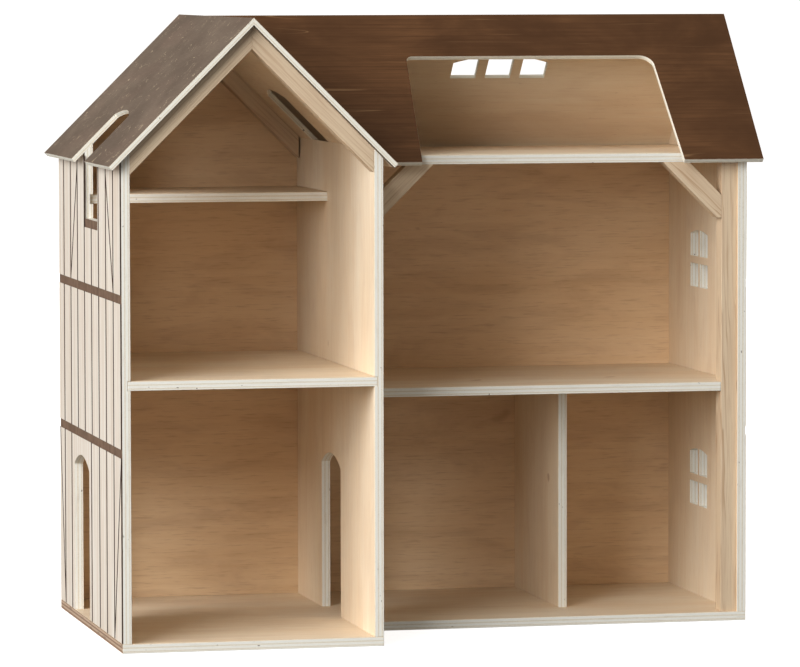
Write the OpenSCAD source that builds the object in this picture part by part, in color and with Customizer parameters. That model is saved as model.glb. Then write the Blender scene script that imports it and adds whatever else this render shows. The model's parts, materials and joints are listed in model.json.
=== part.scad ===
// Open-fronted wooden dollhouse: a gable wing and a set-back main wing on one base board,
// plate walls with housed floors, 45 degree roofs with arched cut-outs, and strip-pine framing.
// All sizes are in millimetres. Front is -Y, up is +Z, the gable wing is on the -X side.

/* [Overall] */
// Width of the whole house over its outer walls
house_w = 648; // [560:1:800]
// Depth of the gable wing, front to back
house_d = 372; // [330:1:460]
// Width of the gable wing over its two walls
wing_w = 254; // [215:1:310]
// How far the main wing's front stands behind the gable wing's front
set_back = 114; // [90:1:140]
// Height of the gable wing's walls at the eaves
wall_z = 468; // [440:1:565]

/* [Boards] */
// Thickness of the base, the walls and the floors
ply = 9; // [7.5:0.5:12]
// Thickness of the roof panels
roof_t = 5; // [4:0.5:8]
// Thickness of the back panels
back_t = 4; // [3:0.5:6]
// Depth of the housings that hold the floors in the walls
dado = 3; // [2:0.25:4]
// Clearance left around a board that sits in a housing
slip = 0.2; // [0.1:0.05:0.4]

/* [Floors] */
// Top of the gable wing's middle floor
wing_floor_z = 259; // [220:1:310]
// Top of the main wing's middle floor
main_floor_z = 238.5; // [200:0.5:280]
// Top of the loft shelf under the gable
loft_z = 427; // [400:1:450]
// Distance of the loft shelf's front edge behind the wing's front
loft_y = 218; // [150:1:260]
// Distance of the main wing's floor edges behind its wall edge
floor_in = 3; // [1:0.5:8]
// Distance from the top of the main walls' eaves down to the attic floor
attic_drop = 0; // [0:0.5:30]

/* [Roof] */
// Overhang of the gable roof beyond its walls, measured sideways
eave_side = 12.5; // [8:0.5:20]
// Overhang of the gable roof at the front
verge_front = 10; // [5:0.5:20]
// Overhang of the gable roof at the back
verge_back = 14; // [5:0.5:20]
// Overhang of the main roof beyond its front and back walls
eave_main = 13; // [8:0.5:20]
// Overhang of the main roof beyond the right wall
verge_right = 13.5; // [8:0.5:20]

/* [Roof openings] */
// Distance down the slope from the ridge to the top of the big front opening
opening_top = 58; // [40:1:80]
// Distance of the opening's upper left corner from the gable wing
opening_x = 68; // [50:1:90]
// Width of the big opening along its top
opening_w = 252; // [200:1:300]
// How far each side of the opening spreads on its way to the eave
opening_flare = 6.5; // [0:0.5:12]
// Radius of the opening's upper left corner
opening_r_left = 6; // [3:0.5:20]
// Radius of the opening's upper right corner
opening_r_right = 14; // [3:0.5:20]
// Width of the slot through the left slope, over the wall's window
slot_w = 78; // [60:1:90]
// Distance down the slope from the ridge to the crown of the left slot
slot_top = 129; // [100:1:150]
// Rise of the left slot's arched head
slot_rise = 7; // [3:0.5:12]
// Width of the doorway through the right slope, into the attic
hatch_w = 84; // [60:1:100]
// Distance of the attic doorway's centre behind the wing's front
hatch_y = 254; // [230:1:280]
// Distance down the slope from the ridge to the attic doorway's crown
hatch_top = 100; // [80:1:120]
// Rise of the attic doorway's arched head
hatch_rise = 10; // [4:0.5:16]

/* [Arched roof window] */
// Width of one of the three panes
pane_w = 26; // [18:0.5:32]
// Width of the bars between the panes
pane_bar = 10; // [6:0.5:14]
// Distance down the slope from the ridge to the window's sill
roof_sill = 87; // [70:1:110]
// Height of the outer panes at the window's sides, along the slope
pane_h = 22; // [14:0.5:30]
// Rise of the window's arched head
pane_rise = 10; // [4:0.5:14]
// Distance of the window's centre from the gable wing
roof_window_x = 185; // [150:1:220]

/* [Doors and windows] */
// Width of both arched doorways
door_w = 92; // [70:1:100]
// Height of both doorways at their crown, above the base
door_h = 159; // [130:1:175]
// Rise of the doorways' arched heads
door_rise = 12.5; // [6:0.5:20]
// Distance of the outer doorway's centre behind the wing's front
door_y_left = 237; // [200:1:260]
// Distance of the inner doorway's centre behind the wing's front
door_y_mid = 203; // [190:1:230]
// Distance of the left wall's open-topped window behind the wing's front
window_y = 134; // [120:1:150]
// Height of that window's sill
window_sill = 404; // [390:1:415]
// Width of the right wall's two windows
side_window_w = 63; // [50:1:75]
// Height of the right wall's two windows at their crown
side_window_h = 58; // [45:1:70]
// Distance of those windows' centres behind the wing's front
side_window_y = 254; // [235:1:270]
// Sill height of the lower side window
side_sill_low = 101; // [80:1:120]
// Sill height of the upper side window
side_sill_up = 324; // [300:1:350]
// Width of the upright bar in the side windows
side_bar_v = 5.5; // [4:0.5:8]
// Height of the level bar in the side windows
side_bar_h = 7.5; // [5:0.5:10]

/* [Framing strips] */
// Face width of the rafters and the posts
strip = 16; // [12:0.5:20]
// Depth of the rafters and posts, and face width of the braces
strip_deep = 19; // [14:0.5:24]
// Length of each brace's lower edge, measured along the attic floor
brace_leg = 60; // [45:1:75]
// Height trimmed off the braces' lower tips
brace_tip = 4.5; // [2:0.5:8]
// Gap left at the wall end of the right back rafter
rafter_gap = 1.6; // [0.5:0.1:3]

/* [Partition and scored walls] */
// Left face of the ground-floor partition, from the gable wing's outer corner
partition_x = 220; // [190:1:250]
// Front edge of the partition behind the wing's front
partition_y = 187; // [160:1:210]
// Width of one scored plank
plank = 42.2; // [36:0.1:48]
// Width of a scored upright line
score_w = 5; // [3:0.1:7]
// Width of a scored slanting line
slant_w = 4; // [2:0.1:6]
// Depth of a scored line
score_d = 0.6; // [0.3:0.1:1]
// Height of the brown bands across the outer walls
band_h = 8.5; // [6:0.5:12]
// Bottom of the upper band
band_up = 332; // [322:1:345]
// Bottom of the lower band
band_low = 185.5; // [178:0.5:200]

/* [Shown part] */
// Name of the one node to draw, or all

/* [Hidden] */
$fn = 96;
rt2 = sqrt(2);
over = 1;                                   // how far a cutter runs past a face
half_wing = wing_w / 2;
roof_v = roof_t * rt2;                      // upright thickness of a 45 degree panel
ridge_z = wall_z + half_wing + roof_v;      // outer ridge line
ridge_in = wall_z + half_wing;              // inner ridge line
ridge_y = (set_back + house_d) / 2;         // main ridge, over the middle of the main wing
main_half = (house_d - set_back) / 2;
main_wall_z = ridge_in - main_half;         // top of the main walls at their eaves
// the attic floor hangs from the lower of the two eaves, so the middle wall still holds it
attic_z = min(main_wall_z, wall_z) - attic_drop;
edge = roof_t / rt2;                        // drop of a panel's square-cut edge
floor_y = set_back + floor_in;              // front edges in the main wing
back_in = house_d - back_t;                 // inner faces of the back panels
left_in = ply;                              // wall faces, left to right
mid_l = wing_w - ply;
mid_r = wing_w;
right_l = house_w - ply;
mid_c = wing_w - ply / 2;
post_l = mid_r + strip;                     // posts' faces towards the room
post_r = right_l - strip;
main_floor_u = main_floor_z - ply;
attic_u = attic_z - ply;
wing_floor_u = wing_floor_z - ply;
door_z = ply + door_h;
window_end = window_y + slot_w;
// the bounding box's middle is put over the origin
min_x = -eave_side;
max_x = house_w + verge_right;
min_y = -verge_front;
max_y = max(house_d + verge_back, house_d + eave_main);
org = [-(min_x + max_x) / 2, -(min_y + max_y) / 2, 0];

maple = [0.90, 0.84, 0.76];
birch = [0.82, 0.71, 0.56];
pine = [0.86, 0.74, 0.57];
brown = [0.34, 0.23, 0.15];
taupe = [0.51, 0.45, 0.40];

// ---------------------------------------------------------------- helpers
module house(c) { color(c) translate(org) children(); }

// a profile drawn in X and Z, drawn out from y0 to y1
module along_y(pts, y0, y1) {
  translate([0, y1, 0]) rotate([90, 0, 0]) linear_extrude(height = y1 - y0) polygon(pts);
}

// a profile drawn in Y and Z, drawn out from x0 to x1
module along_x(pts, x0, x1) {
  translate([x0, 0, 0]) rotate([90, 0, 90]) linear_extrude(height = x1 - x0) polygon(pts);
}

module block(x0, x1, y0, y1, z0, z1) {
  translate([x0, y0, z0]) cube([x1 - x0, y1 - y0, z1 - z0]);
}

// arched cutter: width along X centred on 0, from v0 up to a crown at v1, thickness along Z
module arch(w, v0, v1, rise, z0, z1) {
  rad = (w * w / 4 + rise * rise) / (2 * rise);
  translate([-w / 2, v0, z0]) cube([w, v1 - rise - v0, z1 - z0]);
  intersection() {
    translate([-w / 2, v1 - rise - over, z0]) cube([w, rise + 2 * over, z1 - z0]);
    translate([0, v1 - rad, z0]) cylinder(r = rad, h = z1 - z0);
  }
}

// an arched cutter through a wall that stands in Y and Z
module wall_arch(x0, x1, yc, w, z0, z1, rise) {
  translate([x0, yc, 0]) rotate([90, 0, 90]) arch(w, z0, z1, rise, 0, x1 - x0);
}

// slope frames: first axis along the ridge, second down the slope, third out of the roof
module slope_left() {
  multmatrix([[0, -1 / rt2, -1 / rt2, half_wing], [1, 0, 0, 0],
              [0, -1 / rt2, 1 / rt2, ridge_z], [0, 0, 0, 1]]) children();
}
module slope_right() {
  multmatrix([[0, 1 / rt2, 1 / rt2, half_wing], [-1, 0, 0, 0],
              [0, -1 / rt2, 1 / rt2, ridge_z], [0, 0, 0, 1]]) children();
}
module slope_front() {
  multmatrix([[-1, 0, 0, 0], [0, -1 / rt2, -1 / rt2, ridge_y],
              [0, -1 / rt2, 1 / rt2, ridge_z], [0, 0, 0, 1]]) children();
}
module slope_back() {
  multmatrix([[1, 0, 0, 0], [0, 1 / rt2, 1 / rt2, ridge_y],
              [0, -1 / rt2, 1 / rt2, ridge_z], [0, 0, 0, 1]]) children();
}

// a downward arched slot in a slope frame, open at the eave
module slope_slot(w, top, rise, far) {
  mirror([0, 1, 0]) arch(w, -far, -top, rise, -roof_t - over, over);
}

// housing for a floor in a wall face: from depth x0 to x1, open towards the front
module housing(x0, x1, y0, y1, top) {
  block(x0, x1, y0, y1, top - ply, top + slip);
}

// ---------------------------------------------------------------- scored lines
module score(x0, x1, y, z0, z1) {
  block(x0, x1, y - score_w / 2, y + score_w / 2, z0, z1);
}

// a slanting scored line from (ya, za) to (yb, zb)
module slant(x0, x1, ya, za, yb, zb) {
  len = sqrt(pow(yb - ya, 2) + pow(zb - za, 2));
  translate([x0, ya, za]) rotate([atan2(zb - za, yb - ya), 0, 0])
    translate([0, 0, -slant_w / 2]) cube([x1 - x0, len, slant_w]);
}

function line_y(k) = 2 + plank * k;

// the pattern on an outer wall face; the plain strip around the doorway is optional
module scoring(x0, x1, y_lo, y_hi, top, doorway) {
  jamb = door_w / 2 + 14.5;
  for (k = [0 : 10]) {
    y = line_y(k);
    if (y > y_lo && y < y_hi) {
      score(x0, x1, y, band_up + band_h, top);
      score(x0, x1, y, band_low + band_h, band_up);
      if (!doorway || abs(y - door_y_left) > jamb + plank * 0.4)
        score(x0, x1, y, ply - over, band_low);
    }
  }
  if (doorway) for (s = [-1, 1]) score(x0, x1, door_y_left + s * jamb, ply - over, band_low);
  block(x0, x1, y_lo - over, y_hi + over, band_up, band_up + band_h);
  block(x0, x1, y_lo - over, y_hi + over, band_low, band_low + band_h);
}

// ---------------------------------------------------------------- base and walls
module base_board() {
  house(birch) linear_extrude(height = ply)
    polygon([[0, 0], [wing_w, 0], [wing_w, set_back], [house_w, set_back],
             [house_w, house_d], [0, house_d]]);
}

module left_wall() {
  house(maple) difference() {
    along_y([[0, ply], [ply, ply], [ply, wall_z + ply], [0, wall_z]], 0, house_d);
    wall_arch(-over, ply + over, door_y_left, door_w, ply - over, door_z, door_rise);
    block(-over, ply + over, window_y, window_end, window_sill, wall_z + ply + over);
    housing(ply - dado, ply + over, -over, back_in, wing_floor_z);
    housing(ply - dado, ply + over, window_end - over, back_in, loft_z);
    block(ply / 2, ply + over, back_in, house_d + over, ply - over, wall_z + 2 * ply);
    scoring(-over, score_d, 0, house_d, wall_z + ply, true);
    block(-over, score_d, window_y, window_end, window_sill - band_h, window_sill + over);
    slant(-over, score_d, line_y(6), wall_z - 14, line_y(7), band_up + band_h);
    slant(-over, score_d, line_y(2), wall_z - 14, line_y(1), band_up + band_h);
    slant(-over, score_d, house_d - 3, band_low, line_y(8), ply);
    slant(-over, score_d, 2, band_low, line_y(1), ply);
  }
}

module middle_wall() {
  house(maple) difference() {
    along_y([[mid_l, ply], [mid_r, ply], [mid_r, wall_z], [mid_l, wall_z + ply]], 0, house_d);
    wall_arch(mid_l - over, mid_r + over, door_y_mid, door_w, ply - over, door_z, door_rise);
    housing(mid_l - over, mid_l + dado, -over, back_in, wing_floor_z);
    housing(mid_l - over, mid_l + dado, loft_y - slip, back_in, loft_z);
    housing(mid_r - dado, mid_r + over, floor_y - slip, back_in, main_floor_z);
    housing(mid_r - dado, mid_r + over, floor_y - slip, back_in, attic_z);
    // one rabbet takes the edges of both back panels
    block(mid_l - over, mid_r + over, back_in, house_d + over, ply - over, wall_z + 2 * ply);
  }
}

module right_wall() {
  house(maple) difference() {
    along_x([[set_back, ply], [house_d, ply], [house_d, main_wall_z],
             [ridge_y, ridge_in], [set_back, main_wall_z]], right_l, house_w);
    for (z = [side_sill_low, side_sill_up]) side_window(z);
    housing(right_l - over, right_l + dado, floor_y - slip, back_in, main_floor_z);
    housing(right_l - over, right_l + dado, floor_y - slip, back_in, attic_z);
    block(right_l - over, right_l + ply / 2, back_in, house_d + over, ply - over,
          main_wall_z + over);
    scoring(house_w - score_d, house_w + over, set_back, house_d, ridge_in, false);
  }
}

// two panes over two, the upper pair under a shallow arched head
module side_window(sill) {
  difference() {
    wall_arch(right_l - over, house_w + over, side_window_y, side_window_w, sill,
              sill + side_window_h, 4);
    block(right_l - 2 * over, house_w + 2 * over, side_window_y - side_bar_v / 2,
          side_window_y + side_bar_v / 2, sill - over, sill + side_window_h + over);
    block(right_l - 2 * over, house_w + 2 * over, side_window_y - side_window_w,
          side_window_y + side_window_w, sill + side_window_h * 0.41,
          sill + side_window_h * 0.41 + side_bar_h);
  }
}

module wing_back() {
  x0 = ply / 2 + slip;
  x1 = mid_c - slip / 2;
  house(birch)
    along_y([[x0, ply], [x1, ply], [x1, wall_z + wing_w - x1], [half_wing, ridge_in],
             [x0, wall_z + x0]], back_in, house_d);
}

module main_back() {
  low = attic_z + slip;
  high = main_wall_z + over;
  // above the attic floor the panel stops at the gable's right slope
  slope_x = half_wing + ridge_z + slip * rt2;
  house(birch) difference() {
    block(mid_c + slip / 2, right_l + ply / 2 - slip, back_in, house_d, ply, main_wall_z);
    if (high > low)
      along_y([[0, low], [slope_x - low, low], [slope_x - high, high], [0, high]],
              back_in - over, house_d + over);
  }
}

module partition() {
  x0 = wing_w + partition_x;
  house(maple) block(x0, x0 + ply, partition_y, back_in, ply, main_floor_u);
}

// ---------------------------------------------------------------- floors
module wing_floor() {
  house(birch) block(ply - dado + slip, mid_l + dado - slip, 0, back_in, wing_floor_u,
                     wing_floor_z);
}

module loft_shelf() {
  house(birch) block(ply - dado + slip, mid_l + dado - slip, loft_y, back_in, loft_z - ply,
                     loft_z);
}

module main_floor() {
  house(birch) difference() {
    block(mid_r - dado + slip, right_l + dado - slip, floor_y, back_in, main_floor_u,
          main_floor_z);
    // the floor is notched around both posts
    block(mid_r - dado - over, post_l + slip, floor_y - over, floor_y + strip_deep + slip,
          main_floor_u - over, main_floor_z + over);
    block(post_r - slip, right_l + dado + over, floor_y - over, floor_y + strip_deep + slip,
          main_floor_u - over, main_floor_z + over);
  }
}

module attic_floor() {
  house(birch) block(mid_r - dado + slip, right_l + dado - slip, floor_y, back_in, attic_u,
                     attic_z);
}

// ---------------------------------------------------------------- roof panels
// profile of a panel that falls from the ridge (a, z) by run, with a square-cut eave
function panel(a, run, s) =
  [[a, ridge_z], [a + s * run, ridge_z - run], [a + s * (run - edge), ridge_z - run - edge],
   [a, ridge_in]];

module gable_roof_left() {
  house(taupe) difference() {
    along_y(panel(half_wing, half_wing + eave_side, -1), min_y, house_d + verge_back);
    slope_left() translate([window_y + slot_w / 2, 0, 0])
      slope_slot(slot_w, slot_top, slot_rise, half_wing * 3);
  }
}

module gable_roof_right() {
  // behind the main wing's front the panel runs on down to the attic floor
  inner_run = max(half_wing + eave_side, ridge_z - attic_z + edge);
  house(taupe) difference() {
    union() {
      along_y(panel(half_wing, half_wing + eave_side, 1), min_y, house_d + verge_back);
      along_y(panel(half_wing, inner_run, 1), floor_y, house_d);
    }
    slope_right() translate([-hatch_y, 0, 0])
      slope_slot(hatch_w, hatch_top, hatch_rise, half_wing * 3);
    // its lower edge stops just above the attic floor
    block(mid_r - over, half_wing + inner_run + over, floor_y - slip, house_d + slip,
          attic_u - 2 * ply, attic_z + slip);
  }
}

// what lies under the gable's right slope, where a main panel stops along the valley
module valley() {
  far = 4 * half_wing;
  along_y([[half_wing, ridge_z], [half_wing + far, ridge_z - far], [half_wing - far, ridge_z - far],
           [half_wing - far, ridge_z + far], [half_wing, ridge_z + far]],
          -house_d, 2 * house_d);
}

module main_roof_front() {
  x_l = wing_w + opening_x;
  x_r = x_l + opening_w;
  far = (main_half + eave_main) * rt2 + over;
  drop = far - opening_top;
  a = atan2(opening_flare, (main_half + eave_main) * rt2 - opening_top);
  rl = opening_r_left;
  rr = opening_r_right;
  // centres of the two corner arcs, each tangent to the top and to its side
  xl = x_l - tan(a) * rl + rl / cos(a);
  xr = x_r + tan(a) * rr - rr / cos(a);
  house(brown) difference() {
    along_x(panel(ridge_y, main_half + eave_main, -1), half_wing, max_x);
    valley();
    slope_front() translate([0, 0, -roof_t - over]) {
      linear_extrude(height = roof_t + 2 * over)
        polygon([[-xl, opening_top], [-xr, opening_top],
                 [-(xr + rr * cos(a)), opening_top + rr - rr * sin(a)],
                 [-(x_r + tan(a) * drop), far], [-(x_l - tan(a) * drop), far],
                 [-(xl - rl * cos(a)), opening_top + rl - rl * sin(a)]]);
      translate([-xl, opening_top + rl, 0]) cylinder(r = rl, h = roof_t + 2 * over);
      translate([-xr, opening_top + rr, 0]) cylinder(r = rr, h = roof_t + 2 * over);
    }
  }
}

module main_roof_back() {
  win_w = 3 * pane_w + 2 * pane_bar;
  xc = wing_w + roof_window_x;
  house(brown) difference() {
    along_x(panel(ridge_y, main_half + eave_main, 1), half_wing, max_x);
    valley();
    slope_back() translate([xc, 0, 0]) difference() {
      mirror([0, 1, 0])
        arch(win_w, -roof_sill, -(roof_sill - pane_h - pane_rise), pane_rise,
             -roof_t - over, over);
      for (s = [-1, 1])
        translate([s * (pane_w + pane_bar) / 2 - pane_bar / 2, 0, -roof_t - 2 * over])
          cube([pane_bar, roof_sill + over, roof_t + 4 * over]);
    }
  }
}

// ---------------------------------------------------------------- framing strips
function under(x) = wall_z + min(x, wing_w - x);

// one rafter, from its wall end to the mitre under the ridge
module rafter(x_end, y0) {
  v = strip * rt2;
  along_y([[x_end, under(x_end)], [half_wing, ridge_in], [half_wing, ridge_in - v],
           [x_end, under(x_end) - v]], y0, y0 + strip_deep);
}

module front_rafter_left() { house(pine) rafter(left_in, 0); }
module front_rafter_right() { house(pine) rafter(mid_l, 0); }
module back_rafter_left() { house(pine) rafter(left_in, back_in - strip_deep); }
module back_rafter_right() { house(pine) rafter(mid_l - rafter_gap, back_in - strip_deep); }

module left_post() {
  house(pine) block(mid_r, post_l, floor_y, floor_y + strip_deep, ply, attic_u);
}
module right_post() {
  house(pine) block(post_r, right_l, floor_y, floor_y + strip_deep, ply, attic_u);
}

// a brace from a post's face (x) up to the attic floor, leaning towards side s
module brace(x, s) {
  w = strip_deep * rt2;
  along_y([for (p = [[brace_leg - w, 0], [brace_leg, 0], [brace_tip, brace_leg - brace_tip],
                     [0, brace_leg - brace_tip], [0, brace_leg - w]])
             [x + s * p[0], attic_u - p[1]]], floor_y, floor_y + strip);
}
module left_brace() { house(pine) brace(post_l, 1); }
module right_brace() { house(pine) brace(post_r, -1); }

base_board();
left_wall();
middle_wall();
right_wall();
wing_back();
main_back();
wing_floor();
loft_shelf();
main_floor();
attic_floor();
partition();
gable_roof_left();
gable_roof_right();
main_roof_front();
main_roof_back();
front_rafter_left();
front_rafter_right();
back_rafter_left();
back_rafter_right();
left_post();
right_post();
left_brace();
right_brace();
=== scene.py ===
"""A wooden dollhouse in plywood and pine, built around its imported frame."""

import json
import logging
import math
from dataclasses import dataclass, field
from enum import Enum

import bmesh
import bpy
from mathutils import Matrix, Vector

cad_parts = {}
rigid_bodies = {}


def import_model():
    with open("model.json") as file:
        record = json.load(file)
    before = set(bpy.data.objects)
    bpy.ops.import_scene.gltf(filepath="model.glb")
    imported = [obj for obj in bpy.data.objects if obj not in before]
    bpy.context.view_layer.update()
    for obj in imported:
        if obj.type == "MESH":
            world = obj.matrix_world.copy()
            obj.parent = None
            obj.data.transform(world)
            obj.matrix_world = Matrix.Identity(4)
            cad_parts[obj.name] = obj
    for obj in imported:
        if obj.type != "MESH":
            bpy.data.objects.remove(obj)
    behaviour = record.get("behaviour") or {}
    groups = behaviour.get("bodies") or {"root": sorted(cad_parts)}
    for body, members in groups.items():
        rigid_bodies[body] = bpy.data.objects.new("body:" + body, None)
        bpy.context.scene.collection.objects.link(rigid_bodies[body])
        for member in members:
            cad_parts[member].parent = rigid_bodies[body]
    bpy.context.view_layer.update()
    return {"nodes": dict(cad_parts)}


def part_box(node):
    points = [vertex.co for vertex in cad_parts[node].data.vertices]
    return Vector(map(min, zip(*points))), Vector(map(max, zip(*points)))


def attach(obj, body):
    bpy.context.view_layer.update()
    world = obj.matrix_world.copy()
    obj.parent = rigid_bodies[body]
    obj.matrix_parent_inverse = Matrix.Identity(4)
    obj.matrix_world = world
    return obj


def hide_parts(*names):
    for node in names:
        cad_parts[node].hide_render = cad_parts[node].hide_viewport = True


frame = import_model()
BODY = "root"
MM = 0.001
ROOT_HALF = math.sqrt(0.5)
GRAIN = "grain"
PLY = "ply"
PLYWOOD = 9 * MM
BUMP_STRENGTH = 0.6
WELD = 0.01 * MM
SLACK = 0.1 * MM
FACING = 0.9
FLAT_ANGLE = math.radians(0.4)
SHADING_ANGLE = math.radians(24)
CORNER_ANGLE = math.radians(30)
CORNER_STEPS = 2
ROUND_PROFILE = 0.5
OVER_EVERYTHING = 1.0  # a peak so high, in metres, that it cuts no line

log = logging.getLogger("dollhouse")

Colour = tuple[float, float, float]
Triple = tuple[float, float, float]
Span = tuple[float, float]
Patch = tuple[Span, Span]


def tone(red: int, green: int, blue: int) -> Colour:
    """Turns a display colour into scene light.

    Args:
        red: Red, 0 to 255.
        green: Green, 0 to 255.
        blue: Blue, 0 to 255.

    Returns:
        The linear colour.
    """

    def linear(value: int) -> float:
        """Undoes the display curve of one channel."""
        share = value / 255
        return share / 12.92 if share <= 0.04045 else ((share + 0.055) / 1.055) ** 2.4

    return linear(red), linear(green), linear(blue)


# ---------------------------------------------------------------- shader trees
@dataclass(frozen=True)
class Layer:
    """One noise of a finish.

    per_metre counts its features along the grain, across it and through the board. detail is its
    number of finer octaves, rough their weight, and warp how far the noise bends itself. Where
    fade is given, the noise is eased from 0 to 1 between those two values.
    """

    per_metre: Triple
    detail: float = 2.0
    rough: float = 0.5
    warp: float = 0.0
    fade: Span | None = None


class Signal:
    """One output of a shader tree, with arithmetic that adds Math nodes."""

    def __init__(self, shader: "Shader", socket: bpy.types.NodeSocket) -> None:
        """Keeps the tree and the socket.

        Args:
            shader: The tree that the socket belongs to.
            socket: The output that this signal stands for.
        """
        self.shader = shader
        self.socket = socket

    def __add__(self, other: "Signal | float") -> "Signal":
        """Sum."""
        return self.shader.math("ADD", self, other)

    def __sub__(self, other: "Signal | float") -> "Signal":
        """Difference."""
        return self.shader.math("SUBTRACT", self, other)

    def __rsub__(self, other: float) -> "Signal":
        """Difference from a number."""
        return self.shader.math("SUBTRACT", other, self)

    def __mul__(self, other: "Signal | float") -> "Signal":
        """Product."""
        return self.shader.math("MULTIPLY", self, other)

    def __truediv__(self, other: "Signal | float") -> "Signal":
        """Quotient."""
        return self.shader.math("DIVIDE", self, other)

    def __abs__(self) -> "Signal":
        """Size without sign."""
        return self.shader.math("ABSOLUTE", self)

    def fraction(self) -> "Signal":
        """What is left past the whole number below."""
        return self.shader.math("FRACT", self)

    def between(self, low: float, high: float) -> "Signal":
        """Rises smoothly from 0 at low to 1 at high, and falls where low is the larger.

        Args:
            low: Where the result is 0.
            high: Where the result is 1.

        Returns:
            The eased value.
        """
        return self.shader.signal(
            "ShaderNodeMapRange",
            {"interpolation_type": "SMOOTHSTEP"},
            {"Value": self, "From Min": low, "From Max": high},
        )


class Shader:
    """A material whose tree is written as expressions."""

    def __init__(self, name: str) -> None:
        """Makes an empty material.

        Args:
            name: The material's name.
        """
        self.material = bpy.data.materials.new(name)
        self.material.use_nodes = True
        self.tree = self.material.node_tree
        self.tree.nodes.clear()

    def node(
        self, kind: str, settings: dict | None = None, inputs: dict | None = None
    ) -> bpy.types.Node:
        """Adds a node, sets it, then feeds it.

        Args:
            kind: The node's type.
            settings: Attributes of the node, set before its sockets.
            inputs: Numbers, colours or signals by socket name or number.

        Returns:
            The node.
        """
        made = self.tree.nodes.new(kind)
        for name, value in (settings or {}).items():
            setattr(made, name, value)
        for name, value in (inputs or {}).items():
            self.feed(made.inputs[name], value)
        return made

    def feed(self, socket: bpy.types.NodeSocket, value: "Signal | float | Triple") -> None:
        """Links a signal to a socket, or sets the socket's own value.

        Args:
            socket: The input.
            value: What it takes.
        """
        if isinstance(value, Signal):
            self.tree.links.new(value.socket, socket)
        elif socket.type == "RGBA":
            socket.default_value = (*value, 1.0)
        else:
            socket.default_value = value

    def signal(
        self,
        kind: str,
        settings: dict | None = None,
        inputs: dict | None = None,
        output: int | str = 0,
    ) -> Signal:
        """Adds a node and gives one of its outputs.

        Args:
            kind: The node's type.
            settings: Attributes of the node.
            inputs: Values of its sockets.
            output: Name or number of the output.

        Returns:
            The output as a signal.
        """
        return Signal(self, self.node(kind, settings, inputs).outputs[output])

    def math(self, operation: str, *values: "Signal | float") -> Signal:
        """One Math node on up to two values."""
        return self.signal("ShaderNodeMath", {"operation": operation}, dict(enumerate(values)))

    def vector(self, operation: str, first: Signal, second: Triple) -> Signal:
        """One Vector Math node on a signal and a fixed vector."""
        return self.signal("ShaderNodeVectorMath", {"operation": operation}, {0: first, 1: second})

    def mix(
        self,
        share: "Signal | float",
        first: "Signal | Colour",
        second: "Signal | Colour",
        blend: str = "MIX",
    ) -> Signal:
        """Mixes two colours.

        Args:
            share: How much of the second, 0 to 1.
            first: The colour at 0.
            second: The colour at 1.
            blend: The way they mix.

        Returns:
            The mixed colour.
        """
        settings = {"data_type": "RGBA", "blend_type": blend, "clamp_result": True}
        return self.signal("ShaderNodeMix", settings, {0: share, 6: first, 7: second}, 2)

    def grain(self) -> Signal:
        """The board's own place: along the grain, across it, and up through its thickness."""
        return self.signal("ShaderNodeAttribute", {"attribute_name": GRAIN}, None, "Vector")

    def ply(self) -> Signal:
        """How far through the board's thickness, 0 to 1."""
        return self.signal("ShaderNodeAttribute", {"attribute_name": PLY}, None, "Fac")

    def noise(self, place: Signal, layer: Layer) -> Signal:
        """Adds one noise over the board.

        Args:
            place: The board's own place, in metres.
            layer: The noise's sizes.

        Returns:
            The noise, 0 to 1, eased where the layer says so.
        """
        inputs = {
            "Vector": self.vector("MULTIPLY", place, layer.per_metre),
            "Scale": 1.0,
            "Detail": layer.detail,
            "Roughness": layer.rough,
            "Distortion": layer.warp,
        }
        made = self.signal("ShaderNodeTexNoise", None, inputs)
        return made.between(*layer.fade) if layer.fade else made

    def finish(
        self, colour: Signal, roughness: Signal, height: Signal, depth: float, sheen: float
    ) -> bpy.types.Material:
        """Adds the surface and the bump, and closes the tree.

        Args:
            colour: The base colour.
            roughness: The roughness.
            height: The bump's height, 0 to 1.
            depth: The bump's depth in metres.
            sheen: How strongly the bare surface mirrors, 0.5 for a plain varnish.

        Returns:
            The material.
        """
        bump = self.signal(
            "ShaderNodeBump",
            None,
            {"Strength": BUMP_STRENGTH, "Distance": depth, "Height": height},
        )
        surface = self.signal(
            "ShaderNodeBsdfPrincipled",
            None,
            {
                "Base Color": colour,
                "Roughness": roughness,
                "Specular IOR Level": sheen,
                "Normal": bump,
            },
        )
        self.feed(self.node("ShaderNodeOutputMaterial").inputs["Surface"], surface)
        return self.material


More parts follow.
